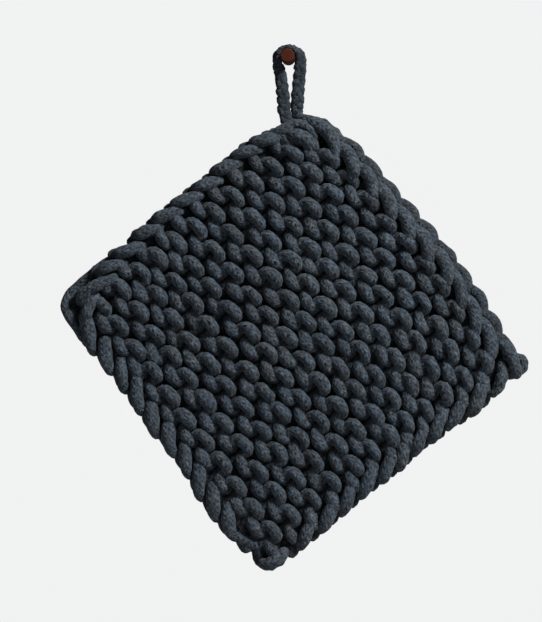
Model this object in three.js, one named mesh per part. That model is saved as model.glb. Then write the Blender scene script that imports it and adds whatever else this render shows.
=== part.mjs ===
// Hand-knitted pot holder in thick cotton cord, hung corner up by its loop on a round wooden peg.
// Millimetres, +Z up. The wall plane is y = 0 and the front of the knitting faces -Y.
// The origin is the centre of the peg's back face.

import * as THREE from 'three';

// Peg

const peg = { radius: 4.3, length: 28, roundedEdge: 0.8, sides: 32 };

// Knitted square
// Its own flat coordinates are "across", along a ridge from the left selvage to the right one,
// "up", from the cast-on edge to the bind-off edge, and "out", towards whoever looks at a face.

const square = { across: 203, up: 193 };
const backClearance = 1.8;
const halfThickness = 7.6;
const midPlaneY = -(backClearance + halfThickness);

// Where the four corners of the square hang, seen from the front

const corners = {
  left: { x: -134, z: -151 },
  top: { x: 10.5, z: -37 },
  bottom: { x: -12.5, z: -315 },
  right: { x: 144.5, z: -189 },
};

// Stitches: each ridge is a row of head loops with the sinker loops of the next row under it

const stitches = { count: 11, pitch: 17.4, first: 12.2 };
const ridges = { count: 12, pitch: 15.7, firstCrown: 17, archHeight: 2 };
const backRidgeShift = -ridges.pitch / 2;

// The lines that each ridge is drawn with, from low to high. "below" is the distance under the
// crowns of the head loops. The last three columns are the heights over the mid-plane at the
// middle of a head loop, on its flanks, and between two head loops.

const ridgeLines = [
  { name: 'groove', below: 12.4, atHead: 1.2, onFlank: 0.6, between: 1.6 },
  { name: 'sinker', below: 7.2, atHead: 3.4, onFlank: 5.6, between: 7.0 },
  { name: 'crossing', below: 4.6, atHead: 5.0, onFlank: 6.6, between: 5.8 },
  { name: 'crown', below: 2.0, atHead: 7.6, onFlank: 7.0, between: 4.8 },
];
const stitchPhases = [-0.25, 0, 0.25, 0.5];

// Edge chains: a raised link for each ridge on the selvages and for each stitch on the other edges

const edges = {
  left: { rim: -9.6, crest: -5, groove: 1.5 },
  right: { rim: 206, crest: 200.5 },
  bottom: { rim: -7, crest: -1.8 },
  top: { groove: 193, crest: 202, rim: 208.6 },
};
const chain = { height: 5.8, linkRelief: 1.1, scallop: 0.9, grooveHeight: 2.6 };
const topBow = { start: 150, middle: 0.42, drop: 9.5 };
const cornerRounding = {
  left: { reach: 20, depth: 6 },
  top: { reach: 26, depth: 16 },
  right: { reach: 20, depth: 3 },
  bottom: { reach: 20, depth: 7 },
};

// The upper ridges sink towards the right selvage, as the hung square sags there

const sag = { from: 125, over: 80, depth: 12, lowest: 60, highest: 150 };
const unevenness = { inFace: 0.7, height: 0.45 };
const warp = 0.8;

// Hanging loop: the middle line of the cord with its width across the view and its depth
// front to back. It lies flat over the peg and turns its broad side to the front on both legs.

const loopRoute = [
  { x: -2.6, z: -33.2, wide: 7.2, deep: 4.8 },
  { x: -2.8, z: -28, wide: 7.4, deep: 4.8 },
  { x: -3.4, z: -20, wide: 7.4, deep: 4.8 },
  { x: -4.6, z: -10.6, wide: 7.0, deep: 5.0 },
  { x: -6.2, z: -4.2, wide: 5.4, deep: 6.0 },
  { x: -7.1, z: 0.6, wide: 4.4, deep: 7.0 },
  { x: -4.9, z: 4.9, wide: 3.8, deep: 7.4 },
  { x: 0, z: 6.6, wide: 3.5, deep: 7.6 },
  { x: 5.2, z: 5.3, wide: 4.4, deep: 7.4 },
  { x: 8.2, z: 0.9, wide: 5.6, deep: 6.8 },
  { x: 7.9, z: -4.4, wide: 6.6, deep: 5.8 },
  { x: 7.2, z: -10.6, wide: 7.2, deep: 5.0 },
  { x: 6.2, z: -20, wide: 7.3, deep: 4.8 },
  { x: 5.7, z: -30.8, wide: 7.2, deep: 4.8 },
];
const loopSteps = 52;
const loopSides = 12;

function smoothStep(low, high, value) {
  return THREE.MathUtils.smoothstep(value, low, high);
}

// A repeatable number from -1 to 1 for a stitch, the same each time the file runs

function wobble(column, row, salt) {
  const turned = Math.sin(column * 12.9898 + row * 78.233 + salt * 37.719) * 43758.5453;
  return 2 * (turned - Math.floor(turned)) - 1;
}

// From the square's own coordinates to its place on the peg

function hang(across, up, out) {
  const sinking = sag.depth
    * THREE.MathUtils.clamp((across - sag.from) / sag.over, 0, 1)
    * smoothStep(sag.lowest, sag.highest, up)
    * (1 - smoothStep(sag.highest, square.up, up) * 0.55);
  const s = across / square.across;
  const t = (up - sinking) / square.up;
  const { left, top, bottom, right } = corners;
  const along = (axis) => (1 - s) * (1 - t) * left[axis] + (1 - s) * t * top[axis]
    + s * (1 - t) * bottom[axis] + s * t * right[axis];
  const bulge = warp * Math.sin(Math.PI * s) * Math.sin(2 * Math.PI * t);
  return new THREE.Vector3(along('x'), midPlaneY - out + bulge, along('z'));
}

function nearestCorner(across, up) {
  const isHigh = up > square.up / 2;
  if (across < square.across / 2) return isHigh ? 'top' : 'left';
  return isHigh ? 'right' : 'bottom';
}

// Pulls the corners of the outline in to a round

function roundCorner(across, up) {
  const middle = { across: square.across / 2, up: square.up / 2 };
  const inFrom = (value, low, high) => Math.min(value - low, high - value);
  const fromSide = inFrom(across, edges.left.rim, edges.right.rim);
  const fromEnd = inFrom(up, edges.bottom.rim, edges.top.rim);
  const { reach, depth } = cornerRounding[nearestCorner(across, up)];
  const pull = depth * (1 - smoothStep(0, reach, fromSide)) * (1 - smoothStep(0, reach, fromEnd));
  const diagonal = Math.hypot(across - middle.across, up - middle.up);
  return {
    across: across - pull * (across - middle.across) / diagonal,
    up: up - pull * (up - middle.up) / diagonal,
  };
}

// The lines that run up the square, from the left rim to the right one

function columnLines() {
  const lines = [
    { kind: 'rim', at: edges.left.rim },
    { kind: 'chain', at: edges.left.crest },
    { kind: 'groove', at: edges.left.groove },
  ];
  for (let stitch = 0; stitch < stitches.count; stitch += 1) {
    for (const phase of stitchPhases) {
      const at = stitches.first + (stitch + phase) * stitches.pitch;
      lines.push({ kind: 'stitch', at, stitch, phase });
    }
  }
  lines.push({ kind: 'chain', at: edges.right.crest });
  lines.push({ kind: 'rim', at: edges.right.rim });
  return lines;
}

// The lines that run across the square, from the bottom rim to the top one

function rowLines(isBack) {
  const lines = [
    { kind: 'rim', at: edges.bottom.rim },
    { kind: 'chain', at: edges.bottom.crest },
  ];
  for (let ridge = 0; ridge < ridges.count; ridge += 1) {
    for (const line of ridgeLines) {
      const crown = ridges.firstCrown + ridge * ridges.pitch + (isBack ? backRidgeShift : 0);
      lines.push({ kind: 'ridge', at: Math.max(crown - line.below, 1 + ridge), ridge, line });
    }
  }
  lines.push({ kind: 'groove', at: edges.top.groove });
  lines.push({ kind: 'chain', at: edges.top.crest });
  lines.push({ kind: 'rim', at: edges.top.rim });
  return lines;
}

function heightAt(column, row) {
  if (column.kind === 'rim' || row.kind === 'rim') return 0;
  if (column.kind === 'chain' || row.kind === 'chain') {
    const link = row.kind === 'chain' ? column.at / stitches.pitch : row.at / ridges.pitch;
    return chain.height + chain.linkRelief * Math.cos(2 * Math.PI * link);
  }
  if (column.kind === 'groove' || row.kind === 'groove') return chain.grooveHeight;
  const { atHead, onFlank, between } = row.line;
  if (column.phase === 0) return atHead;
  return column.phase === 0.5 ? between : onFlank;
}

function gridPoint(column, row, isBack) {
  let across = column.at;
  let up = row.at;
  let out = heightAt(column, row);
  const onRim = column.kind === 'rim' || row.kind === 'rim';
  if (column.kind === 'stitch' && row.kind === 'ridge') {
    up += ridges.archHeight * Math.cos(2 * Math.PI * column.phase);
    const salt = isBack ? 5 : 0;
    const nearest = Math.round(column.stitch + column.phase);
    across += unevenness.inFace * wobble(nearest, row.ridge, salt + 1);
    up += unevenness.inFace * wobble(nearest, row.ridge, salt + 2);
    out += unevenness.height * wobble(nearest, row.ridge, salt + 3);
  }
  if (onRim && column.kind === 'rim') {
    const side = Math.sign(across - square.across / 2);
    across += side * chain.scallop * Math.cos(2 * Math.PI * up / ridges.pitch);
  }
  if (onRim && row.kind === 'rim') {
    const side = Math.sign(up - square.up / 2);
    up += side * chain.scallop * Math.cos(2 * Math.PI * across / stitches.pitch);
  }
  const fromMiddle = 2 * (across / square.across - topBow.middle);
  up -= topBow.drop * smoothStep(topBow.start, edges.top.rim, up) * fromMiddle ** 2;
  const rounded = roundCorner(across, up);
  return hang(rounded.across, rounded.up, isBack ? -out : out);
}

// Both faces of the square are grids of the same size that share their rim

function knitSquare() {
  const columns = columnLines();
  const frontRows = rowLines(false);
  const backRows = rowLines(true);
  const points = [];
  const put = (point) => points.push(point.x, point.y, point.z) / 3 - 1;
  const front = frontRows.map((row) => columns.map((column) => put(gridPoint(column, row, false))));
  const back = backRows.map((row, r) => columns.map((column, c) => {
    const onRim = column.kind === 'rim' || row.kind === 'rim';
    return onRim ? front[r][c] : put(gridPoint(column, row, true));
  }));
  const triangles = [];
  for (let r = 0; r + 1 < frontRows.length; r += 1) {
    for (let c = 0; c + 1 < columns.length; c += 1) {
      const rising = columns[c].phase === 0.5 || columns[c].phase === -0.25;
      addCell(triangles, front, r, c, rising, false);
      addCell(triangles, back, r, c, rising, true);
    }
  }
  const geometry = new THREE.BufferGeometry();
  geometry.setAttribute('position', new THREE.Float32BufferAttribute(points, 3));
  geometry.setIndex(triangles);
  return geometry;
}

// Two triangles of a face's grid, with the diagonal along the arch of the stitch

function addCell(triangles, grid, r, c, rising, isBack) {
  const lowLeft = grid[r][c];
  const lowRight = grid[r][c + 1];
  const highLeft = grid[r + 1][c];
  const highRight = grid[r + 1][c + 1];
  const faces = rising
    ? [[lowLeft, lowRight, highRight], [lowLeft, highRight, highLeft]]
    : [[lowLeft, lowRight, highLeft], [lowRight, highRight, highLeft]];
  for (const [a, b, d] of faces) {
    if (isBack) triangles.push(a, d, b);
    else triangles.push(a, b, d);
  }
}

// A closed tube with an oval section that changes along the route

function hangingLoop() {
  const route = new THREE.CatmullRomCurve3(
    loopRoute.map((point) => new THREE.Vector3(point.x, midPlaneY, point.z)),
  );
  const sizeCurve = new THREE.CatmullRomCurve3(
    loopRoute.map((point) => new THREE.Vector3(point.wide, point.deep, 0)),
  );
  const points = [];
  const triangles = [];
  for (let step = 0; step <= loopSteps; step += 1) {
    const share = step / loopSteps;
    const centre = route.getPoint(share);
    const tangent = route.getTangent(share);
    const size = sizeCurve.getPoint(share);
    const sideways = new THREE.Vector3(tangent.z, 0, -tangent.x);
    for (let side = 0; side < loopSides; side += 1) {
      const angle = (2 * Math.PI * side) / loopSides;
      const point = centre.clone().addScaledVector(sideways, Math.cos(angle) * size.x / 2);
      point.y += Math.sin(angle) * size.y / 2;
      points.push(point.x, point.y, point.z);
      const next = (side + 1) % loopSides;
      const here = step * loopSides;
      const ahead = here + loopSides;
      if (step < loopSteps) {
        triangles.push(here + side, ahead + next, ahead + side);
        triangles.push(here + side, here + next, ahead + next);
      }
    }
  }
  const last = loopSteps * loopSides;
  for (let side = 1; side + 1 < loopSides; side += 1) {
    triangles.push(0, side + 1, side);
    triangles.push(last, last + side, last + side + 1);
  }
  const geometry = new THREE.BufferGeometry();
  geometry.setAttribute('position', new THREE.Float32BufferAttribute(points, 3));
  geometry.setIndex(triangles);
  return geometry;
}

// A round rod with its back face on the wall plane and a softened front edge

function pegRod() {
  const { radius, length, roundedEdge, sides } = peg;
  const profile = [
    new THREE.Vector2(0, -length),
    new THREE.Vector2(radius - roundedEdge, -length),
    new THREE.Vector2(radius - 0.25 * roundedEdge, -length + 0.3 * roundedEdge),
    new THREE.Vector2(radius, -length + roundedEdge),
    new THREE.Vector2(radius, 0),
    new THREE.Vector2(0, 0),
  ];
  return new THREE.LatheGeometry(profile, sides);
}

function cloth(colour) {
  return new THREE.MeshStandardMaterial({ color: colour, roughness: 0.95, metalness: 0 });
}

function part(name, geometry, material) {
  const mesh = new THREE.Mesh(geometry, material);
  mesh.name = name;
  return mesh;
}

const potHolder = new THREE.Group();
potHolder.add(part('knit_square', knitSquare(), cloth('#3e464e')));
potHolder.add(part('hanging_loop', hangingLoop(), cloth('#3b434b')));
const pegWood = new THREE.MeshStandardMaterial({ color: '#48251c', roughness: 0.6, metalness: 0 });
potHolder.add(part('peg', pegRod(), pegWood));

export default potHolder;
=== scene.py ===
"""Looks of a hand-knitted cotton pot holder that hangs corner up on a round wooden peg.

The knitting is built as the yarn itself runs: a looped tube for each row, slanted links round
the four edges, strands of their own at the corners, and a three-strand plait for the hanging
loop. A thin band behind each ridge keeps light from coming through where the rows cross, and it
is painted dark as painted shade. The yarn also carries painted shade towards the middle plane.
Sizes are in millimetres and become metres where the meshes are made.
"""

import math

import bpy
import numpy as np
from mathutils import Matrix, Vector


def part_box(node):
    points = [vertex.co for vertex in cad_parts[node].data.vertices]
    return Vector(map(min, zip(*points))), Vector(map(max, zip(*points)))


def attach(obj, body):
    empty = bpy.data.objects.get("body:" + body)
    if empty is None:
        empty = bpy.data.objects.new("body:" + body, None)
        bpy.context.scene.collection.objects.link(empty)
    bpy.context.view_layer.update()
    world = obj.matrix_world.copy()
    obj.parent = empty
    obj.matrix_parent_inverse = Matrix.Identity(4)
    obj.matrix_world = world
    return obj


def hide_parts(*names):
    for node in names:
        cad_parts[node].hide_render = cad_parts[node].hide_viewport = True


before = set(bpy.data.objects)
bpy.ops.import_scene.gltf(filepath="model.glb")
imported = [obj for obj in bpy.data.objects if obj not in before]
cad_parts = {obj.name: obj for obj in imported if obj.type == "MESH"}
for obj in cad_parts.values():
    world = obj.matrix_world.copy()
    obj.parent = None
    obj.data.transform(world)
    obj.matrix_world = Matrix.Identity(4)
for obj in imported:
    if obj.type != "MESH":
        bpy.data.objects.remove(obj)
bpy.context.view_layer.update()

MM = 0.001
FRONT = (0.0, -1.0, 0.0)
knit_low, knit_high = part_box("knit_square")
MID_PLANE_Y = (knit_low.y + knit_high.y) / 2 / MM
dice = np.random.default_rng(11)
lump_dice = np.random.default_rng(5)

# The square's flat size, where its corners hang, as (x, z), and how far its middle warps out of
# the plane

SQUARE = {"across": 203.0, "up": 193.0}
CORNERS = {
    "left": (-134.0, -151.0),
    "top": (10.5, -37.0),
    "bottom": (-12.5, -315.0),
    "right": (144.5, -189.0),
}
WARP = 0.8

# How far the square sinks at its upper right side and at the corner with the loop. "curve" is the
# power that it grows with, "most" stops the growth past the edge, and "least" is at the bottom.

DROOP = {
    "start": 124.0, "over": 62.0, "most": 1.3, "curve": 1.15,
    "least": 0.6, "depth": 10.0, "lowest": 75.0, "highest": 155.0,
}
TOP_LEFT_DROOP = {"until": 42.0, "most": 1.2, "curve": 2, "depth": 14.8, "lowest": 165.0, "highest": 195.0}

# How far each edge strays outward from a straight line, by the distance along it. It is full at
# the edge's own line and fades out over the reach.

EDGE_REACH = 34.0
EDGE_LINES = {"left": -10.0, "right": 206.0, "bottom": -8.0}
LEFT_STRAY = {
    "up": (0, 16, 24, 32, 64, 72, 88, 136, 148, 160, 168, 176, 190),
    "outward": (-2.0, -1.0, -1.0, 0.0, 0.2, 1.0, 1.8, 1.8, 3.0, 0.4, -0.6, -2.0, -2.0),
}
RIGHT_STRAY = {
    "up": (0, 40, 56, 64, 80, 104, 120, 136, 152, 160, 170, 184, 200),
    "outward": (-0.6, -0.3, -0.5, -1.2, -1.0, -0.5, -2.4, -1.4, -0.8, 0.8, 0.8, -0.6, -0.6),
}
BOTTOM_STRAY = {
    "across": (0, 16, 28, 44, 52, 64, 80, 96, 112, 128, 144, 158, 172, 184, 192, 203),
    "outward": (1.5, 2.4, 1.6, 0.5, -0.4, 0.8, 0.7, 0.3, -0.8, -0.8, 1.6, 1.5, 0.2, -2.0, -3.2, -3.2),
}

# Stitches and ridges of the garter stitch

STITCH = {"count": 11, "pitch": 17.4, "first": 12.2}
RIDGE = {"count": 12, "pitch": 15.7, "first_crown": 17.0}

# The yarn's path in a stitch: how far it swings up and down, to the front and to the back, how much
# its loops close in to a horseshoe, and how thick it is. "lead" shifts the whole row to its own
# face, and "tip" is how many steps its rounded ends take.

YARN = {
    "rise": 8.2,
    "head_squareness": 1.6,
    "sinker_squareness": 0.8,
    "head_horseshoe": 2.5,
    "sinker_horseshoe": 3.2,
    "swing": 3.8,
    "lead": 0.95,
    "lean": 0.9,
    "head_wide": 3.7,
    "sinker_wide": 4.0,
    "rear_wide": 5.2,
    "crown_deep": 4.0,
    "leg_wide": 3.4,
    "leg_deep": 3.0,
    "tip": 5,
}
STEPS_PER_STITCH = 21
YARN_SIDES = 12

# How far a row runs on past its first and last stitch, in stitches

ROW_OVERHANG = 0.22

# How much the loops tilt in the square's plane, and how that changes towards its right side

TILT = {"sinker": 0.8, "sinker_right": 0.5, "head": 0.8, "head_right": -0.6, "head_upper_right": -1.6}
TILT_GROWS = {"across": (100.0, 190.0), "up": (60.0, 150.0)}

# Unevenness by hand: two slow waves along each row, which turn by so many radians a stitch and a
# row, and the spread of the random shifts from one half stitch to the next

WAVES = [
    {"height": 0.7, "by_stitch": 0.9, "by_row": 0.35},
    {"height": 0.4, "by_stitch": 2.1, "by_row": -0.5},
]
UNEVEN = {"across": 0.65, "up": 0.5, "out": 0.45, "thick": 0.065}

# Where the wall flattens the back of the yarn, and how much painted shade darkens the yarn
# towards the middle plane, where little light reaches it. One step of shade is 6 % of the yarn's
# tone, and the strands behind the edges get one step of painted shade.

SHADE_STEP = 0.06
REST_Y = -0.3
RECESS_SHADE = {"reach": 6.5, "shade": -12.0, "edge_shade": -5.0}
BACK_SHADE = -1.0
# A thin band in the middle plane of each ridge, painted dark as painted shade where the rows cross
SHADE_BAND = {
    "from_left": 0.5, "from_right": 2.0, "half_wide": 8.6, "half_deep": 0.8,
    "steps": 24, "sides": 8, "shade": -11.0,
}

# How lumpy the yarn's surface is, as a share of its radius, and how blunt a strand's ends are, in
# steps from a point

LUMPINESS = 0.18
BLUNTNESS = 0.35


def smooth_step(low, high, value):
    share = np.clip((value - low) / (high - low), 0.0, 1.0)
    return share * share * (3.0 - 2.0 * share)


def settle(across, up):
    """Lets the straight square droop and stray at its edges as it hangs."""
    depth = DROOP["least"] + DROOP["depth"] * smooth_step(DROOP["lowest"], DROOP["highest"], up)
    past_start = np.clip((across - DROOP["start"]) / DROOP["over"], 0.0, DROOP["most"])
    fall = depth * past_start ** DROOP["curve"]
    shoulder = smooth_step(TOP_LEFT_DROOP["lowest"], TOP_LEFT_DROOP["highest"], up)
    nearness = np.clip(1 - across / TOP_LEFT_DROOP["until"], 0.0, TOP_LEFT_DROOP["most"])
    fall = fall + TOP_LEFT_DROOP["depth"] * shoulder * nearness ** TOP_LEFT_DROOP["curve"]
    left = np.interp(up, LEFT_STRAY["up"], LEFT_STRAY["outward"])
    right = np.interp(up, RIGHT_STRAY["up"], RIGHT_STRAY["outward"])
    bottom = np.interp(across, BOTTOM_STRAY["across"], BOTTOM_STRAY["outward"])
    at_left = np.clip(1 - (across - EDGE_LINES["left"]) / EDGE_REACH, 0.0, 1.0)
    at_right = np.clip(1 - (EDGE_LINES["right"] - across) / EDGE_REACH, 0.0, 1.0)
    at_bottom = np.clip(1 - (up - EDGE_LINES["bottom"]) / EDGE_REACH, 0.0, 1.0)
    return across - left * at_left + right * at_right, up - fall - bottom * at_bottom


def hang(points, settled=False):
    """Takes (across, up, out) in the flat square to (x, y, z) as it hangs, in millimetres."""
    across, up, out = points[:, 0], points[:, 1], points[:, 2]
    if not settled:
        across, up = settle(across, up)
    right = across / SQUARE["across"]
    high = up / SQUARE["up"]
    place = [
        (1 - right) * (1 - high) * CORNERS["left"][axis] + (1 - right) * high * CORNERS["top"][axis]
        + right * (1 - high) * CORNERS["bottom"][axis] + right * high * CORNERS["right"][axis]
        for axis in (0, 1)
    ]
    bulge = WARP * np.sin(math.pi * right) * np.sin(2 * math.pi * high)
    return np.stack([place[0], MID_PLANE_Y - out + bulge, place[1]], axis=1)


def curve_through(rows, steps):
    """A smooth curve through the rows of a table, Catmull-Rom, with all columns interpolated."""
    rows = np.asarray(rows, float)
    padded = np.vstack([2 * rows[0] - rows[1], rows, 2 * rows[-1] - rows[-2]])
    at = np.linspace(0, len(rows) - 1, steps + 1)
    first = np.minimum(at.astype(int), len(rows) - 2)
    t = (at - first)[:, None]
    a, b, c, d = (padded[first + k] for k in range(4))
    return 0.5 * (2 * b + (c - a) * t + (2 * a - 5 * b + 4 * c - d) * t ** 2
                  + (3 * b - a - 3 * c + d) * t ** 3)


def unit(rows):
    return rows / np.maximum(np.linalg.norm(rows, axis=1), 1e-6)[:, None]


def distance_along(centres):
    return np.concatenate([[0.0], np.cumsum(np.linalg.norm(np.diff(centres, axis=0), axis=1))])


def lumps(steps, sides):
    """Small soft swellings along and round a tube, as factors on its radius."""
    rough = lump_dice.normal(0, 1, (steps + 2, sides))
    rough = 0.25 * rough[:-2] + 0.5 * rough[1:-1] + 0.25 * rough[2:]
    return 1 + LUMPINESS * (0.5 * rough + 0.25 * (np.roll(rough, 1, axis=1) + np.roll(rough, -1, axis=1)))


class YarnMesh:
    """Collects closed tubes with their lengthwise and round-the-yarn coordinates in a UV map."""

    def __init__(self):
        self.points = []
        self.faces = []
        self.uvs = []
        self.shades = []
        self.count = 0

    def tube(self, centres, wide, deep, sides, shade=0.0, recess_shade=0.0):
        """Sweeps an oval along centres. wide lies in the cloth's plane and deep stands out of it."""
        steps = len(centres)
        tangent = unit(np.gradient(centres, axis=0))
        side = unit(np.cross(tangent, FRONT))
        stand = np.cross(side, tangent)
        along = distance_along(centres)
        angles = np.arange(sides) * 2 * math.pi / sides - math.pi / 2
        sideways = np.cos(angles)[None, :] * wide[:, None]
        outward = np.sin(angles)[None, :] * deep[:, None]
        swelling = lumps(steps, sides)
        ring = (centres[:, None] + side[:, None] * (sideways * swelling)[..., None]
                + stand[:, None] * (outward * swelling)[..., None])
        start = self.count
        ring[..., 1] = np.minimum(ring[..., 1], REST_Y)
        near_middle = 1 - smooth_step(0.0, RECESS_SHADE["reach"], np.abs(ring[..., 1] - MID_PLANE_Y))
        self.points.append(ring.reshape(-1, 3))
        self.shades.append((shade + recess_shade * near_middle).reshape(-1))
        start_uv = dice.uniform(0, 40)
        for step in range(steps - 1):
            for k in range(sides):
                a = start + step * sides + k
                b = start + step * sides + (k + 1) % sides
                self.faces.append((a, b, b + sides, a + sides))
                u0, u1 = start_uv + along[step], start_uv + along[step + 1]
                v0, v1 = k / sides, (k + 1) / sides
                self.uvs += [(u0, v0), (u0, v1), (u1, v1), (u1, v0)]
        last = start + (steps - 1) * sides
        self.faces.append(tuple(start + k for k in reversed(range(sides))))
        self.faces.append(tuple(last + k for k in range(sides)))
        self.uvs += [(start_uv, k / sides) for k in range(2 * sides)]
        self.count += steps * sides

    def build(self, name, material):
        mesh = bpy.data.meshes.new(name)
        points = np.vstack(self.points) * MM
        mesh.from_pydata(points.tolist(), [], self.faces)
        layer = mesh.uv_layers.new(name="Yarn")
        layer.data.foreach_set("uv", np.asarray(self.uvs, np.float32).ravel())
        shade = mesh.attributes.new("shade", "FLOAT", "POINT")
        shade.data.foreach_set("value", np.concatenate(self.shades).astype(np.float32))
        mesh.polygons.foreach_set("use_smooth", [True] * len(mesh.polygons))
        mesh.materials.append(material)
        mesh.update()
        piece = bpy.data.objects.new(name, mesh)
        bpy.context.scene.collection.objects.link(piece)
        return piece


def rounded_ends(count, reach):
    """1 along a tube, falling to a small rounded tip over the given number of steps."""
    step = np.arange(count)
    nearest = np.minimum(step, count - 1 - step)
    share = np.clip((nearest + BLUNTNESS) / reach, 0.0, 1.0)
    return np.sqrt(1.0 - (1.0 - share) ** 2)


# Garter stitch: every row is one tube. In odd rows the heads of the loops stand at the front and
# the sinkers at the back, and in even rows the other way round.

def knit_row(mesh, middle_line, side, row_number):
    first_share, last_share = -ROW_OVERHANG, STITCH["count"] + ROW_OVERHANG
    steps = int((last_share - first_share) * STEPS_PER_STITCH)
    share = np.linspace(first_share, last_share, steps + 1)
    angle = 2 * math.pi * share
    half_stitches = np.arange(-1, 2 * STITCH["count"] + 3) / 2
    uneven = {
        name: np.interp(share, half_stitches, dice.normal(0, spread, len(half_stitches)))
        for name, spread in UNEVEN.items()
    }
    wave = sum(w["height"] * np.sin(share * w["by_stitch"] + row_number * w["by_row"]) for w in WAVES)
    left = STITCH["first"] - STITCH["pitch"] / 2
    turn = np.cos(angle)
    firm = np.where(turn > 0, YARN["sinker_squareness"], YARN["head_squareness"])
    square = np.tanh(firm * turn) / np.tanh(firm)
    out = side * (YARN["lead"] - YARN["swing"] * (0.85 * turn + 0.15 * turn ** 3)) + uneven["out"]
    lean = YARN["lean"] * np.clip(turn, 0, 1) ** 2
    horseshoe = np.where(turn > 0, YARN["sinker_horseshoe"], YARN["head_horseshoe"]) * np.sin(2 * angle)
    across = left + STITCH["pitch"] * share + horseshoe + lean + uneven["across"]
    to_right = smooth_step(*TILT_GROWS["across"], across)
    to_top = smooth_step(*TILT_GROWS["up"], middle_line)
    head_tilt = TILT["head"] + (TILT["head_right"] + TILT["head_upper_right"] * to_top) * to_right
    sinker_tilt = TILT["sinker"] + TILT["sinker_right"] * to_right
    tilt = np.where(turn > 0, sinker_tilt, head_tilt) * np.sin(angle)
    up = middle_line - YARN["rise"] * square - tilt + wave + uneven["up"]
    crown = turn ** 2
    plump = (1 + uneven["thick"]) * rounded_ends(steps + 1, YARN["tip"])
    front_wide = np.where(turn > 0, YARN["sinker_wide"], YARN["head_wide"])
    fullness = np.where(out > 0, front_wide, YARN["rear_wide"]) - YARN["leg_wide"]
    wide = (YARN["leg_wide"] + fullness * crown) * plump
    deep = (YARN["leg_deep"] + (YARN["crown_deep"] - YARN["leg_deep"]) * crown) * plump
    centres = hang(np.stack([across, up, out], axis=1))
    # Each row gets a random tone, and painted shade darkens it towards the middle plane.
    mesh.tube(centres, wide, deep, YARN_SIDES, shade=dice.uniform(-1, 1), recess_shade=RECESS_SHADE["shade"])


def shade_band(mesh, middle_line):
    """A thin band in the middle of a ridge, painted dark as painted shade, where the rows cross so closely
    that no light comes through.
    """
    steps = SHADE_BAND["steps"]
    across = np.linspace(SHADE_BAND["from_left"], SQUARE["across"] - SHADE_BAND["from_right"], steps + 1)
    flat = np.full(steps + 1, middle_line + YARN["rise"] / 2)
    centres = hang(np.stack([across, flat, np.zeros(steps + 1)], axis=1))
    wide = np.full(steps + 1, SHADE_BAND["half_wide"])
    deep = np.full(steps + 1, SHADE_BAND["half_deep"])
    mesh.tube(centres, wide, deep, SHADE_BAND["sides"], shade=SHADE_BAND["shade"])


def knit_field(mesh):
    for row in range(2 * RIDGE["count"]):
        side = 1 if row % 2 == 0 else -1
        middle_line = RIDGE["first_crown"] - YARN["rise"] + row * RIDGE["pitch"] / 2
        knit_row(mesh, middle_line, side, row)
        if side > 0:
            shade_band(mesh, middle_line)


# Edges: each link is a strand that comes out from between the stitches, slants over the edge and
# tucks in again. "inward" is measured from the crest of the edge, "along" in the link's own
# direction, "out" from the middle plane, and "thick" is the strand's radius.

SELVAGE_FRONT = [
    {"inward": 5.0, "along": -10.0, "out": -0.5, "thick": 2.6},
    {"inward": 3.2, "along": -7.0, "out": 2.8, "thick": 3.4},
    {"inward": 1.6, "along": -1.5, "out": 4.5, "thick": 3.9},
    {"inward": -0.6, "along": 4.5, "out": 3.9, "thick": 3.8},
    {"inward": -1.6, "along": 8.5, "out": 1.4, "thick": 3.2},
    {"inward": -0.8, "along": 11.0, "out": -1.5, "thick": 2.2},
]
SELVAGE_BACK = [
    {"inward": 11.0, "along": -11.5, "out": -1.5, "thick": 3.0},
    {"inward": 8.4, "along": -8.5, "out": -3.4, "thick": 4.0},
    {"inward": 5.0, "along": -3.0, "out": -4.4, "thick": 4.3},
    {"inward": 1.0, "along": 4.0, "out": -3.8, "thick": 4.0},
    {"inward": -1.6, "along": 9.0, "out": -1.4, "thick": 3.2},
    {"inward": -1.0, "along": 11.5, "out": 1.2, "thick": 2.2},
]
CAST_ON_FRONT = [
    {"inward": 6.5, "along": -9.5, "out": -0.5, "thick": 3.2},
    {"inward": 4.4, "along": -6.8, "out": 2.2, "thick": 3.9},
    {"inward": 0.4, "along": -1.0, "out": 3.9, "thick": 4.1},
    {"inward": -3.2, "along": 4.8, "out": 3.0, "thick": 3.7},
    {"inward": -4.2, "along": 9.0, "out": 0.4, "thick": 3.1},
    {"inward": -2.8, "along": 12.0, "out": -2.0, "thick": 2.2},
]
CAST_ON_BACK = [
    {"inward": 6.0, "along": -9.5, "out": 1.0, "thick": 2.6},
    {"inward": 4.0, "along": -6.8, "out": -1.8, "thick": 3.4},
    {"inward": 0.4, "along": -1.0, "out": -3.6, "thick": 3.8},
    {"inward": -2.6, "along": 4.8, "out": -3.0, "thick": 3.6},
    {"inward": -3.6, "along": 9.0, "out": -0.6, "thick": 3.0},
    {"inward": -2.2, "along": 12.0, "out": 1.8, "thick": 2.2},
]
CAST_ON_LEG = [
    {"inward": -3.0, "along": 2.0, "out": -2.6, "thick": 3.4},
    {"inward": 3.0, "along": 0.5, "out": -3.4, "thick": 4.2},
    {"inward": 17.0, "along": 0.0, "out": -3.6, "thick": 4.2},
]
BIND_OFF_FRONT = [
    {"inward": 3.4, "along": -7.5, "out": -0.5, "thick": 2.6},
    {"inward": 0.8, "along": -3.5, "out": 2.8, "thick": 3.5},
    {"inward": -0.6, "along": 2.5, "out": 4.7, "thick": 3.9},
    {"inward": 0.8, "along": 9.0, "out": 5.6, "thick": 3.9},
    {"inward": 4.8, "along": 15.5, "out": 5.4, "thick": 3.8},
    {"inward": 9.4, "along": 19.5, "out": 2.4, "thick": 3.0},
]
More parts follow.
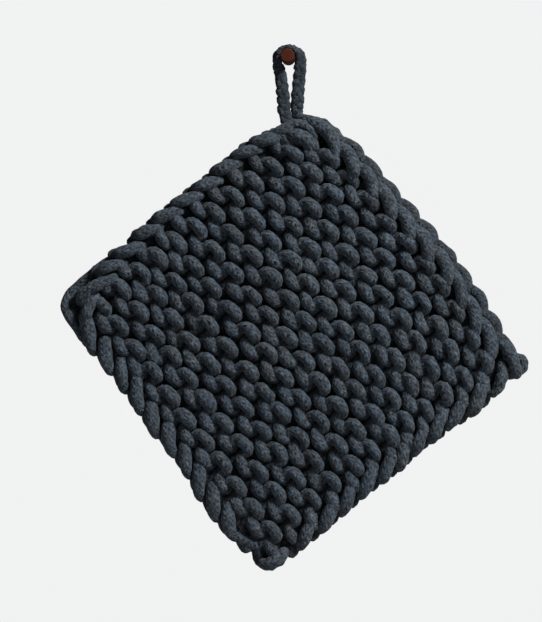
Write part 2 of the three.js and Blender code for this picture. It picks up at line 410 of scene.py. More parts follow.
BIND_OFF_BACK = [
    {"inward": 2.5, "along": -12.5, "out": 0.0, "thick": 2.8},
    {"inward": -2.8, "along": -8.5, "out": -3.0, "thick": 3.6},
    {"inward": -5.2, "along": -2.5, "out": -4.4, "thick": 3.9},
    {"inward": -5.0, "along": 3.5, "out": -4.2, "thick": 3.8},
    {"inward": -2.0, "along": 8.5, "out": -2.6, "thick": 3.4},
    {"inward": 2.5, "along": 11.0, "out": -0.4, "thick": 2.6},
]
BIND_OFF_LEG = [
    {"inward": -1.0, "along": -1.5, "out": -2.6, "thick": 3.6},
    {"inward": 6.0, "along": 0.0, "out": -3.4, "thick": 4.4},
    {"inward": 16.0, "along": 0.0, "out": -3.6, "thick": 4.4},
]

# Where each edge's crest line runs, which way is inward, which way its links go, how much they
# slant and how thick they are

EDGES = {
    "left": {"crest": -5.1, "inward": (1, 0), "along": (0, -1), "slant": 1.0, "plump": 1.0},
    "right": {"crest": 201.7, "inward": (-1, 0), "along": (0, -1), "slant": 1.7, "plump": 1.06},
    "bottom": {"crest": -0.6, "inward": (0, 1), "along": (1, 0), "slant": 1.0, "plump": 1.05},
    "top": {"crest": 198.4, "inward": (0, -1), "along": (1, 0), "slant": 1.0, "plump": 1.06},
}
LINK = {
    "steps": 14, "sides": 12, "tip": 3, "flatness": 0.94,
    "wobble": 0.35, "thinnest": 0.95, "thickest": 1.06,
}

# Where a link sits: from the crown of its ridge, from the middle of its stitch, or along the
# cast-on edge, whose links are a little closer together than the stitches

LINK_PLACES = {
    "left_front": -8.0, "left_back": -14.5, "right_front": 0.5, "right_back": -6.5, "top_back": 20.0,
    "bottom_front": 22.5, "bottom_back": 16.5, "bottom_pitch": 15.9,
}

# The front links of the left edge slip down, the more the lower they are, and the lowest ones
# sit further in

LEFT_SLIP = 5.5
LEFT_INSET = {"each": 1.5, "below_ridge": 4}


def edge_link(mesh, edge_name, place, form, shade=0.0, inset=0.0):
    """One strand of an edge. place is the link's own position along the edge."""
    edge = EDGES[edge_name]
    steps = LINK["steps"]
    rows = curve_through([(r["inward"], r["along"], r["out"], r["thick"]) for r in form], steps)
    inward, along, out, thick = rows.T
    inward = inward * edge["slant"] + inset
    wobble = dice.normal(0, LINK["wobble"], 3)
    horizontal = edge["along"][0] != 0
    base = (place, edge["crest"]) if horizontal else (edge["crest"], place)
    across = base[0] + inward * edge["inward"][0] + along * edge["along"][0] + wobble[0]
    up = base[1] + inward * edge["inward"][1] + along * edge["along"][1] + wobble[1]
    centres = hang(np.stack([across, up, out + wobble[2]], axis=1))
    thick = thick * edge["plump"] * dice.uniform(LINK["thinnest"], LINK["thickest"])
    thick = thick * rounded_ends(steps + 1, LINK["tip"])
    # Painted shade darkens the edge links towards the middle plane.
    mesh.tube(centres, thick, thick * LINK["flatness"], LINK["sides"], shade, recess_shade=RECESS_SHADE["edge_shade"])


def knit_selvages(mesh):
    """The links of the left and right edges. The corners' own strands stand in for the rest."""
    last = RIDGE["count"] - 1
    for ridge in range(RIDGE["count"]):
        crown = RIDGE["first_crown"] + ridge * RIDGE["pitch"]
        if 1 < ridge < last:
            slip = LEFT_SLIP * (last - 1 - ridge) / (last - 3)
            inset = LEFT_INSET["each"] * max(LEFT_INSET["below_ridge"] - ridge, 0)
            edge_link(mesh, "left", crown + LINK_PLACES["left_front"] - slip, SELVAGE_FRONT, inset=inset)
        if ridge > 1:
            # The back links carry one step of painted shade.
            edge_link(mesh, "left", crown + LINK_PLACES["left_back"], SELVAGE_BACK, BACK_SHADE)
        if 0 < ridge < last:
            edge_link(mesh, "right", crown + LINK_PLACES["right_front"], SELVAGE_FRONT)
        if ridge > 0:
            edge_link(mesh, "right", crown + LINK_PLACES["right_back"], SELVAGE_BACK, BACK_SHADE)


def knit_chains(mesh):
    """The links and legs of the cast-on edge at the bottom and the bind-off edge at the top."""
    for stitch in range(STITCH["count"]):
        centre = STITCH["first"] + stitch * STITCH["pitch"]
        shift = LINK_PLACES["bottom_pitch"] * stitch
        if stitch < STITCH["count"] - 1:
            edge_link(mesh, "bottom", LINK_PLACES["bottom_front"] + shift, CAST_ON_FRONT)
            # The back links and legs carry one step of painted shade.
            edge_link(mesh, "top", centre + LINK_PLACES["top_back"], BIND_OFF_BACK, BACK_SHADE)
        if stitch < STITCH["count"] - 2:
            edge_link(mesh, "top", centre + STITCH["pitch"], BIND_OFF_FRONT)
        edge_link(mesh, "bottom", LINK_PLACES["bottom_back"] + shift, CAST_ON_BACK, BACK_SHADE)
        edge_link(mesh, "bottom", centre, CAST_ON_LEG, BACK_SHADE)
        edge_link(mesh, "top", centre + STITCH["pitch"] / 2, BIND_OFF_LEG, BACK_SHADE)


# Corners: the strands that turn from one edge into the next, placed one by one where they hang

CORNER_STRANDS = {
    "upper_left_bean": [
        {"across": 1.5, "up": 176.0, "out": 0.5, "thick": 3.0},
        {"across": 4.0, "up": 179.6, "out": 4.4, "thick": 4.1},
        {"across": 8.5, "up": 183.0, "out": 5.9, "thick": 4.4},
        {"across": 13.2, "up": 184.0, "out": 5.5, "thick": 4.2},
        {"across": 16.6, "up": 182.0, "out": 3.2, "thick": 3.6},
        {"across": 17.6, "up": 178.6, "out": 0.0, "thick": 2.8},
    ],
    "upper_left_brow": [
        {"across": -2.0, "up": 178.5, "out": -0.5, "thick": 2.8},
        {"across": -1.0, "up": 183.4, "out": 2.4, "thick": 3.3},
        {"across": 1.8, "up": 187.6, "out": 3.8, "thick": 3.5},
        {"across": 6.4, "up": 189.8, "out": 4.4, "thick": 3.6},
        {"across": 11.4, "up": 189.2, "out": 4.0, "thick": 3.5},
        {"across": 16.0, "up": 187.0, "out": 1.0, "thick": 2.8},
    ],
    "upper_left_arc": [
        {"across": -3.5, "up": 188.0, "out": -1.0, "thick": 2.8},
        {"across": 0.5, "up": 192.0, "out": 2.4, "thick": 3.5},
        {"across": 8.0, "up": 196.0, "out": 4.4, "thick": 3.9},
        {"across": 16.0, "up": 197.2, "out": 5.0, "thick": 3.9},
        {"across": 23.5, "up": 195.8, "out": 5.3, "thick": 3.9},
        {"across": 29.5, "up": 191.5, "out": 4.8, "thick": 3.7},
        {"across": 33.0, "up": 187.0, "out": 2.0, "thick": 3.0},
    ],
    "upper_left_back": [
        {"across": -1.0, "up": 190.0, "out": -2.5, "thick": 3.4},
        {"across": 6.0, "up": 196.0, "out": -4.0, "thick": 3.8},
        {"across": 13.0, "up": 199.0, "out": -4.6, "thick": 4.0},
        {"across": 21.0, "up": 199.8, "out": -4.4, "thick": 3.9},
        {"across": 28.0, "up": 197.5, "out": -2.5, "thick": 3.2},
    ],
    "upper_left_side": [
        {"across": 0.6, "up": 188.5, "out": 0.0, "thick": 2.8},
        {"across": -1.2, "up": 183.0, "out": 2.8, "thick": 3.4},
        {"across": -2.6, "up": 177.0, "out": 3.8, "thick": 3.5},
        {"across": -4.0, "up": 171.0, "out": 2.2, "thick": 3.2},
        {"across": -4.8, "up": 166.5, "out": -0.5, "thick": 2.6},
    ],
    "lower_left_inner": [
        {"across": 4.6, "up": 35.5, "out": 1.0, "thick": 2.6},
        {"across": 4.4, "up": 31.5, "out": 4.4, "thick": 3.2},
        {"across": 3.3, "up": 25.5, "out": 5.6, "thick": 3.5},
        {"across": 1.6, "up": 19.5, "out": 5.8, "thick": 3.8},
        {"across": 0.9, "up": 13.3, "out": 5.4, "thick": 3.9},
        {"across": 2.0, "up": 7.6, "out": 3.4, "thick": 3.4},
        {"across": 4.0, "up": 3.8, "out": 0.0, "thick": 2.6},
    ],
    "lower_left_outer": [
        {"across": 6.2, "up": 18.0, "out": 0.5, "thick": 2.6},
        {"across": 7.2, "up": 14.0, "out": 4.4, "thick": 3.4},
        {"across": 9.2, "up": 8.6, "out": 6.6, "thick": 3.8},
        {"across": 12.2, "up": 3.2, "out": 6.4, "thick": 3.8},
        {"across": 16.0, "up": -0.8, "out": 3.2, "thick": 3.4},
        {"across": 18.2, "up": -4.0, "out": -0.5, "thick": 2.6},
    ],
    "lower_left_back": [
        {"across": -4.6, "up": 44.0, "out": -0.5, "thick": 2.8},
        {"across": -5.6, "up": 33.0, "out": -3.4, "thick": 3.5},
        {"across": -5.9, "up": 22.0, "out": -4.4, "thick": 3.4},
        {"across": -5.6, "up": 12.0, "out": -4.8, "thick": 3.3},
        {"across": -4.6, "up": 3.4, "out": -4.2, "thick": 3.2},
        {"across": -1.8, "up": -2.8, "out": -2.6, "thick": 3.4},
        {"across": 4.4, "up": -5.4, "out": -1.0, "thick": 3.6},
        {"across": 12.5, "up": -6.2, "out": -0.4, "thick": 3.6},
        {"across": 20.5, "up": -6.6, "out": -0.8, "thick": 3.4},
        {"across": 26.5, "up": -6.0, "out": 0.0, "thick": 2.6},
    ],
    "lower_left_hidden": [
        {"across": -0.4, "up": 22.0, "out": -3.2, "thick": 3.8},
        {"across": 0.2, "up": 10.0, "out": -3.8, "thick": 4.2},
        {"across": 4.0, "up": 1.5, "out": -3.8, "thick": 4.2},
        {"across": 17.0, "up": 0.0, "out": -3.2, "thick": 3.8},
    ],
    "lower_right_bean": [
        {"across": 171.5, "up": -3.0, "out": -2.0, "thick": 2.8},
        {"across": 175.5, "up": -3.0, "out": -0.8, "thick": 3.5},
        {"across": 181.0, "up": -0.4, "out": 0.2, "thick": 3.7},
        {"across": 186.5, "up": 2.8, "out": 0.2, "thick": 3.4},
        {"across": 191.0, "up": 5.4, "out": -1.2, "thick": 3.0},
        {"across": 195.5, "up": 6.0, "out": -3.0, "thick": 3.0},
    ],
    "lower_right_tip": [
        {"across": 197.0, "up": -0.5, "out": -2.0, "thick": 2.8},
        {"across": 198.2, "up": 0.4, "out": 1.6, "thick": 3.7},
        {"across": 200.4, "up": 2.4, "out": 3.8, "thick": 4.2},
        {"across": 201.8, "up": 5.6, "out": 4.6, "thick": 4.4},
        {"across": 201.8, "up": 9.4, "out": 4.2, "thick": 4.2},
        {"across": 201.0, "up": 13.2, "out": 2.4, "thick": 3.7},
        {"across": 200.0, "up": 16.4, "out": -0.6, "thick": 2.8},
    ],
    "lower_right_back": [
        {"across": 197.0, "up": 15.0, "out": -2.0, "thick": 3.0},
        {"across": 199.6, "up": 9.5, "out": -3.4, "thick": 3.6},
        {"across": 199.6, "up": 4.0, "out": -3.6, "thick": 3.8},
        {"across": 196.5, "up": 0.5, "out": -2.5, "thick": 3.2},
    ],
    "upper_right_tail": [
        {"across": 183.0, "up": 190.5, "out": 0.5, "thick": 2.8},
        {"across": 187.0, "up": 192.4, "out": 4.0, "thick": 3.4},
        {"across": 192.8, "up": 191.4, "out": 5.6, "thick": 3.7},
        {"across": 198.6, "up": 189.2, "out": 5.4, "thick": 3.7},
        {"across": 203.4, "up": 187.0, "out": 4.0, "thick": 3.5},
        {"across": 205.8, "up": 185.4, "out": 1.0, "thick": 2.8},
    ],
    "upper_right_side": [
        {"across": 191.5, "up": 184.6, "out": 0.0, "thick": 2.8},
        {"across": 196.5, "up": 182.4, "out": 3.6, "thick": 3.5},
        {"across": 201.0, "up": 177.8, "out": 4.2, "thick": 3.7},
        {"across": 204.0, "up": 171.5, "out": 2.6, "thick": 3.6},
        {"across": 205.2, "up": 166.5, "out": 0.0, "thick": 3.0},
    ],
    "upper_right_knob": [
        {"across": 190.5, "up": 189.0, "out": -2.5, "thick": 3.2},
        {"across": 195.5, "up": 191.6, "out": -3.6, "thick": 3.0},
        {"across": 199.6, "up": 194.4, "out": -2.8, "thick": 3.0},
        {"across": 203.4, "up": 193.0, "out": -2.2, "thick": 3.0},
        {"across": 204.6, "up": 189.2, "out": -2.6, "thick": 2.9},
        {"across": 202.0, "up": 180.0, "out": -3.2, "thick": 3.0},
    ],
}
STRAND = {"steps": 26, "sides": 12, "tip": 3, "flatness": 0.95}


def corner_strands(mesh):
    for name, rows in CORNER_STRANDS.items():
        table = [(r["across"], r["up"], r["out"], r["thick"]) for r in rows]
        curve = curve_through(table, STRAND["steps"])
        thick = curve[:, 3] * rounded_ends(STRAND["steps"] + 1, STRAND["tip"])
        # The hidden strand behind the lower left corner is painted dark as painted shade.
        shade = RECESS_SHADE["shade"] if name.endswith("hidden") else 0.0
        centres = hang(curve[:, :3], settled=True)
        mesh.tube(centres, thick, thick * STRAND["flatness"], STRAND["sides"], shade)


# Hanging loop: the line of the plait with its width and depth. "y" is counted from the square's
# middle plane. "turn" turns the plait's broad side, which faces the front on the legs and lies on
# the peg at the top.

LOOP_ROUTE = [
    {"x": 4.5, "z": -49.0, "y": 0.5, "wide": 5.0, "deep": 4.6, "turn": 0.0},
    {"x": 0.6, "z": -42.0, "y": -0.8, "wide": 6.8, "deep": 4.8, "turn": 0.0},
    {"x": -1.9, "z": -34.6, "y": -0.4, "wide": 7.8, "deep": 4.9, "turn": 0.0},
    {"x": -2.6, "z": -28.0, "y": 0.0, "wide": 7.9, "deep": 4.9, "turn": 0.0},
    {"x": -3.4, "z": -20.0, "y": 0.0, "wide": 7.6, "deep": 4.9, "turn": 0.0},
    {"x": -4.6, "z": -10.6, "y": 0.0, "wide": 7.3, "deep": 4.8, "turn": 0.0},
    {"x": -6.2, "z": -4.2, "y": 0.0, "wide": 6.8, "deep": 4.6, "turn": 0.25},
    {"x": -7.0, "z": 0.6, "y": 0.0, "wide": 6.8, "deep": 4.2, "turn": 0.65},
    {"x": -4.7, "z": 4.5, "y": 0.0, "wide": 7.2, "deep": 3.8, "turn": 1.0},
    {"x": 0.0, "z": 6.1, "y": 0.0, "wide": 7.4, "deep": 3.6, "turn": 1.0},
    {"x": 4.6, "z": 4.7, "y": 0.0, "wide": 7.2, "deep": 3.9, "turn": 0.8},
    {"x": 7.3, "z": 0.9, "y": 0.0, "wide": 7.2, "deep": 4.6, "turn": 0.3},
    {"x": 7.6, "z": -4.4, "y": 0.0, "wide": 7.2, "deep": 4.7, "turn": 0.05},
    {"x": 7.2, "z": -10.6, "y": 0.0, "wide": 7.4, "deep": 4.8, "turn": 0.0},
    {"x": 6.2, "z": -20.0, "y": 0.0, "wide": 7.6, "deep": 4.9, "turn": 0.0},
    {"x": 5.6, "z": -28.0, "y": 0.0, "wide": 7.7, "deep": 4.9, "turn": 0.0},
    {"x": 5.4, "z": -34.0, "y": 0.6, "wide": 7.4, "deep": 4.8, "turn": 0.0},
    {"x": 6.5, "z": -41.0, "y": 1.5, "wide": 6.4, "deep": 4.6, "turn": 0.0},
    {"x": 8.5, "z": -47.0, "y": 2.0, "wide": 5.0, "deep": 4.6, "turn": 0.0},
]

# The plait: how far a strand goes in one full turn, how full and how rippled the strands are, and
# how much the peg presses them flat

PLAIT = {
    "strands": 3, "period": 17.0, "strand_radius": 2.08, "steps": 300, "sides": 8, "tip": 6,
    "breadth": 1.12, "fullness": 1.04, "ripple": 0.05, "ripple_rate": 1.3, "flattening": 0.3,
}


def hanging_loop(mesh):
    columns = ("x", "y", "z", "wide", "deep", "turn")
    rows = curve_through([[r[c] for c in columns] for r in LOOP_ROUTE], PLAIT["steps"])
    centre = np.stack([rows[:, 0], MID_PLANE_Y + rows[:, 1], rows[:, 2]], axis=1)
    tangent = unit(np.gradient(centre, axis=0))
    depthwise = unit(np.array(FRONT) + tangent * tangent[:, 1:2])
    sideways = np.cross(tangent, depthwise)
    turn = rows[:, 5] * math.pi / 2
    broad = sideways * np.cos(turn)[:, None] + depthwise * np.sin(turn)[:, None]
    flat = depthwise * np.cos(turn)[:, None] - sideways * np.sin(turn)[:, None]
    along = distance_along(centre)
    radius = PLAIT["strand_radius"]
    flattened = 1 - PLAIT["flattening"] * rows[:, 5]
    for strand in range(PLAIT["strands"]):
        phase = 2 * math.pi * (along / PLAIT["period"] + strand / PLAIT["strands"])
        swing = np.sin(phase) * (rows[:, 3] / 2 - radius)
        cross = np.sin(2 * phase) * (rows[:, 4] / 2 - radius)
        path = centre + broad * swing[:, None] + flat * cross[:, None]
        ripple = PLAIT["ripple"] * np.sin(along * PLAIT["ripple_rate"] + strand)
        thick = radius * (PLAIT["fullness"] + ripple) * rounded_ends(len(path), PLAIT["tip"])
        wide = thick * PLAIT["breadth"] * flattened
        mesh.tube(path, wide, thick / flattened ** 0.5, PLAIT["sides"])


# Peg: a turned wooden rod with a softened front edge and a faintly domed end

PEG = {
    "radius": 4.3, "length": 28.0, "edge": 0.8, "dome": 0.25, "sides": 64,
    "undersize": 0.02, "turning": 0.035, "turning_rate": 37.0,
}
PEG_STEPS = {"dome": 4, "edge": 5, "side": 14}


def peg_profile():
    """Distance from the axis and y, from the middle of the front end to the back."""
    radius, length, edge, dome = (PEG[k] for k in ("radius", "length", "edge", "dome"))
    flat = radius - edge
    profile = []
    for k in range(1, PEG_STEPS["dome"] + 1):
        share = k / PEG_STEPS["dome"]
        profile.append((flat * share, -length + dome * share ** 2))
    for k in range(1, PEG_STEPS["edge"] + 1):
        angle = k / PEG_STEPS["edge"] * math.pi / 2
        profile.append((flat + edge * math.sin(angle), -length + dome + (edge - edge * math.cos(angle))))
    start = -length + dome + edge
    for k in range(1, PEG_STEPS["side"] + 1):
        share = k / PEG_STEPS["side"]
        turned = PEG["turning"] * math.sin(share * PEG["turning_rate"]) * math.sin(share * math.pi)
        profile.append((radius - PEG["undersize"] + turned, start * (1 - share)))
    return profile


def turned_peg(material):
    profile = peg_profile()
    sides = PEG["sides"]
    points = [(0.0, -PEG["length"], 0.0)]
    faces = []
    for r, y in profile:
        for k in range(sides):
            angle = 2 * math.pi * k / sides
            points.append((r * math.sin(angle), y, r * math.cos(angle)))
    for k in range(sides):
        faces.append((0, 1 + k, 1 + (k + 1) % sides))
        for ring in range(len(profile) - 1):
            a = 1 + ring * sides
            b = a + sides
            faces.append((a + k, b + k, b + (k + 1) % sides, a + (k + 1) % sides))
    last = 1 + (len(profile) - 1) * sides
    faces.append(tuple(last + k for k in range(sides)))
    mesh = bpy.data.meshes.new("peg_turned")
    mesh.from_pydata([(x * MM, y * MM, z * MM) for x, y, z in points], [], faces)
    mesh.polygons.foreach_set("use_smooth", [len(f) < 5 for f in faces])
    mesh.materials.append(material)
    mesh.update()
    peg = bpy.data.objects.new("peg_turned", mesh)
    bpy.context.scene.collection.objects.link(peg)
    return peg


# Materials

def new_material(name):
    material = bpy.data.materials.new(name)
    material.use_nodes = True
    nodes = material.node_tree.nodes
    return material, nodes, material.node_tree.links, nodes["Principled BSDF"]


def math_node(nodes, links, operation, first, second=None, third=None, clamp=False):
    node = nodes.new("ShaderNodeMath")
    node.operation = operation
    node.use_clamp = clamp
    for socket, value in zip(node.inputs, (first, second, third)):
        if value is None:
            continue
        if isinstance(value, (int, float)):
            socket.default_value = value
        else:
            links.new(value, socket)
    return node.outputs[0]


def noise_node(nodes, links, vector, scale, detail=2.0, roughness=0.5):
    node = nodes.new("ShaderNodeTexNoise")
    node.inputs["Scale"].default_value = scale
    node.inputs["Detail"].default_value = detail
    node.inputs["Roughness"].default_value = roughness
    links.new(vector, node.inputs["Vector"])
    return node.outputs["Fac"]


def ramp_node(nodes, links, value, stops):
    node = nodes.new("ShaderNodeValToRGB")
    ramp = node.color_ramp
    while len(ramp.elements) < len(stops):
        ramp.elements.new(0.5)
    for element, (position, colour) in zip(ramp.elements, stops):
        element.position = position
        element.color = (*colour, 1.0)
    links.new(value, node.inputs["Fac"])
    return node.outputs["Color"]


def mix_node(nodes, links, blend, factor, first, second):
    node = nodes.new("ShaderNodeMix")
    node.data_type = "RGBA"
    node.blend_type = blend
    for socket, value in ((node.inputs[0], factor), (node.inputs[6], first), (node.inputs[7], second)):
        if isinstance(value, (int, float)):
            socket.default_value = value
        elif isinstance(value, tuple):
            socket.default_value = (*value, 1.0)
        else:
            links.new(value, socket)
    return node.outputs[2]


def braided_cotton(name, tone, plies_round, ply_length, bump, contrast):
    """Soft matte cotton cord: small V-shaped plies round the yarn, with a faint heather.

    ply_length and bump are in millimetres, and contrast is how dark the furrows between plies are
    painted as painted shade, with the ply tops painted lighter.
    """
    material, nodes, links, shader = new_material(name)
    uv = nodes.new("ShaderNodeUVMap")
    uv.uv_map = "Yarn"
    split = nodes.new("ShaderNodeSeparateXYZ")
    links.new(uv.outputs["UV"], split.inputs[0])
    place = nodes.new("ShaderNodeTexCoord").outputs["Object"]

    drift = noise_node(nodes, links, place, scale=260.0)
    columns = math_node(nodes, links, "MULTIPLY", split.outputs["Y"], float(plies_round))
    columns = math_node(nodes, links, "MULTIPLY_ADD", drift, 0.5, columns)
    ping = math_node(nodes, links, "PINGPONG", columns, 0.5)
    lengthwise = math_node(nodes, links, "DIVIDE", split.outputs["X"], ply_length)
    slant = math_node(nodes, links, "MULTIPLY_ADD", ping, 1.5, lengthwise)
    slant = math_node(nodes, links, "MULTIPLY_ADD", drift, 1.5, slant)
    wave = math_node(nodes, links, "SINE", math_node(nodes, links, "MULTIPLY", slant, 2 * math.pi))
    wave = math_node(nodes, links, "MULTIPLY_ADD", wave, 0.5, 0.5)
    column_edge = math_node(nodes, links, "SINE", math_node(nodes, links, "MULTIPLY", ping, 2 * math.pi))
    ply = math_node(nodes, links, "MULTIPLY_ADD", column_edge, 0.35, wave)

    fibre = noise_node(nodes, links, place, scale=1300.0, detail=3.0, roughness=0.65)
    mottle = noise_node(nodes, links, place, scale=400.0, detail=3.0, roughness=0.6)
    cloud = noise_node(nodes, links, place, scale=45.0)

    dark, middle, light = (tuple(tone[c] * k for c in range(3)) for k in (0.35, 1.0, 2.1))
    heather = ramp_node(nodes, links, mottle, [(0.3, dark), (0.52, middle), (0.78, light)])
    speckle = ramp_node(nodes, links, fibre, [(0.3, (0.8,) * 3), (0.55, (1.0,) * 3), (0.8, (1.25,) * 3)])
    colour = mix_node(nodes, links, "MULTIPLY", 1.0, heather, speckle)
    # Painted shade in the furrows between plies and a painted lighter tone on the ply tops, on the bump's
    # pattern
    furrow_stops = [(0.05, (1 - 0.7 * contrast,) * 3), (0.45, (1.0,) * 3), (1.0, (1 + 0.35 * contrast,) * 3)]
    furrow = ramp_node(nodes, links, ply, furrow_stops)
    colour = mix_node(nodes, links, "MULTIPLY", 1.0, colour, furrow)
    tint = ramp_node(nodes, links, cloud, [(0.3, (0.92, 0.97, 1.04)), (0.7, (1.06, 1.02, 0.98))])
    colour = mix_node(nodes, links, "MULTIPLY", 1.0, colour, tint)
    # The shade attribute: a random tone for each row, plus painted shade towards the middle plane, on the
    # strands behind the edges, on the dark bands in the ridges and on the hidden corner strand
    attribute = nodes.new("ShaderNodeAttribute")
    attribute.attribute_name = "shade"
    level = math_node(nodes, links, "MULTIPLY_ADD", attribute.outputs["Fac"], SHADE_STEP, 1.0)
    shade = nodes.new("ShaderNodeCombineColor")
    for socket in shade.inputs:
        links.new(level, socket)
    colour = mix_node(nodes, links, "MULTIPLY", 1.0, colour, shade.outputs[0])
    links.new(colour, shader.inputs["Base Color"])

    height = math_node(nodes, links, "MULTIPLY_ADD", fibre, 0.5, ply)
    height = math_node(nodes, links, "MULTIPLY_ADD", mottle, 0.6, height)
    bump_node = nodes.new("ShaderNodeBump")
    bump_node.inputs["Strength"].default_value = 0.9
    bump_node.inputs["Distance"].default_value = bump * MM
    links.new(height, bump_node.inputs["Height"])
    links.new(bump_node.outputs["Normal"], shader.inputs["Normal"])
    rough = math_node(nodes, links, "MULTIPLY_ADD", fibre, 0.15, 0.85, clamp=True)
    links.new(rough, shader.inputs["Roughness"])
    shader.inputs["Specular IOR Level"].default_value = 0.18
    shader.inputs["Sheen Weight"].default_value = 0.04
    shader.inputs["Sheen Roughness"].default_value = 0.55
    shader.inputs["Sheen Tint"].default_value = (0.75, 0.85, 0.95, 1.0)
    return material


def stained_wood():
    """Red-brown stained hardwood: rings and pores on the end, grain along the rod."""
    material, nodes, links, shader = new_material("peg_wood")
    place = nodes.new("ShaderNodeTexCoord").outputs["Object"]
    shift = nodes.new("ShaderNodeMapping")
    shift.inputs["Location"].default_value = (0.011, 0.0, 0.016)
    shift.inputs["Scale"].default_value = (1.0, 0.06, 1.0)
    links.new(place, shift.inputs["Vector"])
    along_rod = shift.outputs["Vector"]
    rings = nodes.new("ShaderNodeTexWave")
    rings.wave_type = "RINGS"
    rings.rings_direction = "Y"
    rings.inputs["Scale"].default_value = 240.0
    rings.inputs["Distortion"].default_value = 2.2
    rings.inputs["Detail"].default_value = 3.0
    rings.inputs["Detail Scale"].default_value = 2.0
    links.new(along_rod, rings.inputs["Vector"])
    pores = noise_node(nodes, links, along_rod, scale=2600.0, detail=3.0, roughness=0.7)
    cloud = noise_node(nodes, links, along_rod, scale=260.0)
    stain = [(0.0, (0.036, 0.010, 0.0065)), (0.55, (0.060, 0.0165, 0.0098)), (1.0, (0.080, 0.023, 0.013))]
    grain = ramp_node(nodes, links, rings.outputs["Fac"], stain)
    specks = ramp_node(nodes, links, pores, [(0.34, (0.45,) * 3), (0.5, (1.0,) * 3), (0.8, (1.2,) * 3)])
    colour = mix_node(nodes, links, "MULTIPLY", 1.0, grain, specks)
    patches = ramp_node(nodes, links, cloud, [(0.3, (0.8,) * 3), (0.7, (1.15,) * 3)])
    colour = mix_node(nodes, links, "MULTIPLY", 1.0, colour, patches)
    links.new(colour, shader.inputs["Base Color"])
    rough = math_node(nodes, links, "MULTIPLY_ADD", pores, 0.25, 0.5)
    links.new(rough, shader.inputs["Roughness"])
    shader.inputs["Specular IOR Level"].default_value = 0.03
    height = math_node(nodes, links, "MULTIPLY_ADD", rings.outputs["Fac"], 0.5, pores)
    bump_node = nodes.new("ShaderNodeBump")
    bump_node.inputs["Strength"].default_value = 0.2
    bump_node.inputs["Distance"].default_value = 0.08 * MM
    links.new(height, bump_node.inputs["Height"])
    links.new(bump_node.outputs["Normal"], shader.inputs["Normal"])
    return material


def pale_floor():
    material, nodes, links, shader = new_material("pale_floor")
    place = nodes.new("ShaderNodeTexCoord").outputs["Object"]
    cloud = noise_node(nodes, links, place, scale=3.0, detail=3.0)
    tone = ramp_node(nodes, links, cloud, [(0.3, (0.36, 0.36, 0.36)), (0.7, (0.39, 0.39, 0.392))])
    links.new(tone, shader.inputs["Base Color"])
    shader.inputs["Roughness"].default_value = 0.9
    shader.inputs["Specular IOR Level"].default_value = 0.1
    return material


# Camera: level with the middle of the square, a little to the right of the peg, far enough away
# that a pixel is the same size all over the square

VIEW = {"centre_x": -10.5, "centre_z": -155.9, "camera_x": 64.0, "distance": 2000.0, "frame_height": 382.5}


def place_camera():
    camera_data = bpy.data.cameras.new("camera")
    camera = bpy.data.objects.new("camera", camera_data)
    bpy.context.scene.collection.objects.link(camera)
    target = Vector((VIEW["centre_x"], MID_PLANE_Y, VIEW["centre_z"])) * MM
    stand = Vector((VIEW["camera_x"], MID_PLANE_Y - VIEW["distance"], VIEW["centre_z"])) * MM
    camera.location = stand
    camera.rotation_mode = "QUATERNION"
    camera.rotation_quaternion = (target - stand).to_track_quat("-Z", "Y")
    camera_data.sensor_width = 36.0
    camera_data.lens = camera_data.sensor_width * (target - stand).length / (VIEW["frame_height"] * MM)
    camera_data.clip_start = 0.05
    camera_data.clip_end = 30.0
    bpy.context.scene.camera = camera


# Studio, in metres: a round floor below the square, three soft disk lights that all aim at its
# middle, and an even pale background whose own light is stronger from the front than from behind

FLOOR = {"radius": 0.95, "level": -0.45, "sides": 96}
LIGHT_AIM = Vector((0.0, 0.0, -0.16))
LIGHTS = [
    {"name": "key", "at": (1.5, -1.25, 1.5), "size": 0.7, "watts": 125.0, "colour": (1.0, 0.985, 0.96)},
    {"name": "fill", "at": (-1.9, -1.4, 0.2), "size": 1.6, "watts": 2.0, "colour": (0.94, 0.97, 1.0)},
    {"name": "back", "at": (0.3, 2.2, 0.8), "size": 0.8, "watts": 50.0, "colour": (1.0, 1.0, 1.0)},
]
BACKGROUND = {"colour": (0.882, 0.885, 0.888, 1.0), "room_light": 0.07, "less_behind": 0.04}


def lay_floor():
    turns = [2 * math.pi * k / FLOOR["sides"] for k in range(FLOOR["sides"])]
    ring = [(FLOOR["radius"] * math.cos(a), FLOOR["radius"] * math.sin(a), FLOOR["level"]) for a in turns]
    floor_mesh = bpy.data.meshes.new("floor")
    floor_mesh.from_pydata(ring, [], [tuple(range(FLOOR["sides"]))])
    floor_mesh.materials.append(pale_floor())
    floor = bpy.data.objects.new("floor", floor_mesh)
    bpy.context.scene.collection.objects.link(floor)


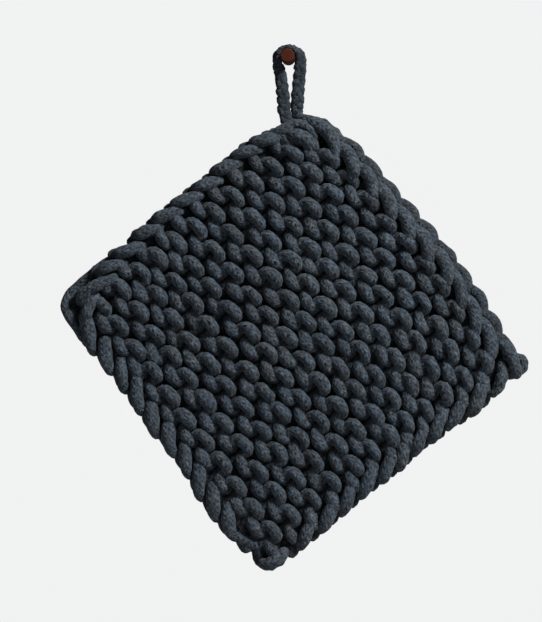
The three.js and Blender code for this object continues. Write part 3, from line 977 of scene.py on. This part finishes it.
def place_lights():
    for row in LIGHTS:
        data = bpy.data.lights.new(row["name"], "AREA")
        data.shape = "DISK"
        data.size = row["size"]
        data.energy = row["watts"]
        data.color = row["colour"]
        light = bpy.data.objects.new(row["name"], data)
        light.location = row["at"]
        light.rotation_mode = "QUATERNION"
        light.rotation_quaternion = (LIGHT_AIM - Vector(row["at"])).to_track_quat("-Z", "Y")
        bpy.context.scene.collection.objects.link(light)


def light_background():
    world = bpy.data.worlds.new("world")
    world.use_nodes = True
    nodes, links = world.node_tree.nodes, world.node_tree.links
    background = nodes["Background"]
    background.inputs["Color"].default_value = BACKGROUND["colour"]
    seen = nodes.new("ShaderNodeLightPath").outputs["Is Camera Ray"]
    direction = nodes.new("ShaderNodeSeparateXYZ")
    links.new(nodes.new("ShaderNodeTexCoord").outputs["Generated"], direction.inputs[0])
    depthwise = direction.outputs["Y"]
    slope, middle = -BACKGROUND["less_behind"], BACKGROUND["room_light"]
    room = math_node(nodes, links, "MULTIPLY_ADD", depthwise, slope, middle)
    strength = math_node(nodes, links, "MAXIMUM", seen, room)
    links.new(strength, background.inputs["Strength"])
    bpy.context.scene.world = world
    bpy.context.scene.view_settings.view_transform = "Standard"


place_camera()
lay_floor()
place_lights()
light_background()

yarn_cotton = braided_cotton(
    "knit_yarn", tone=(0.033, 0.043, 0.054), plies_round=6, ply_length=3.2, bump=0.36, contrast=0.6)
loop_cotton = braided_cotton(
    "loop_cord", tone=(0.022, 0.029, 0.037), plies_round=4, ply_length=1.9, bump=0.16, contrast=0.3)

knit_mesh = YarnMesh()
knit_field(knit_mesh)
knit_selvages(knit_mesh)
knit_chains(knit_mesh)
corner_strands(knit_mesh)
knitting = knit_mesh.build("knitting", yarn_cotton)
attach(knitting, "root")
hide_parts("knit_square")

loop_mesh = YarnMesh()
hanging_loop(loop_mesh)
plaited_loop = loop_mesh.build("plaited_loop", loop_cotton)
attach(plaited_loop, "root")
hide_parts("hanging_loop")

peg = turned_peg(stained_wood())
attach(peg, "root")
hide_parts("peg")
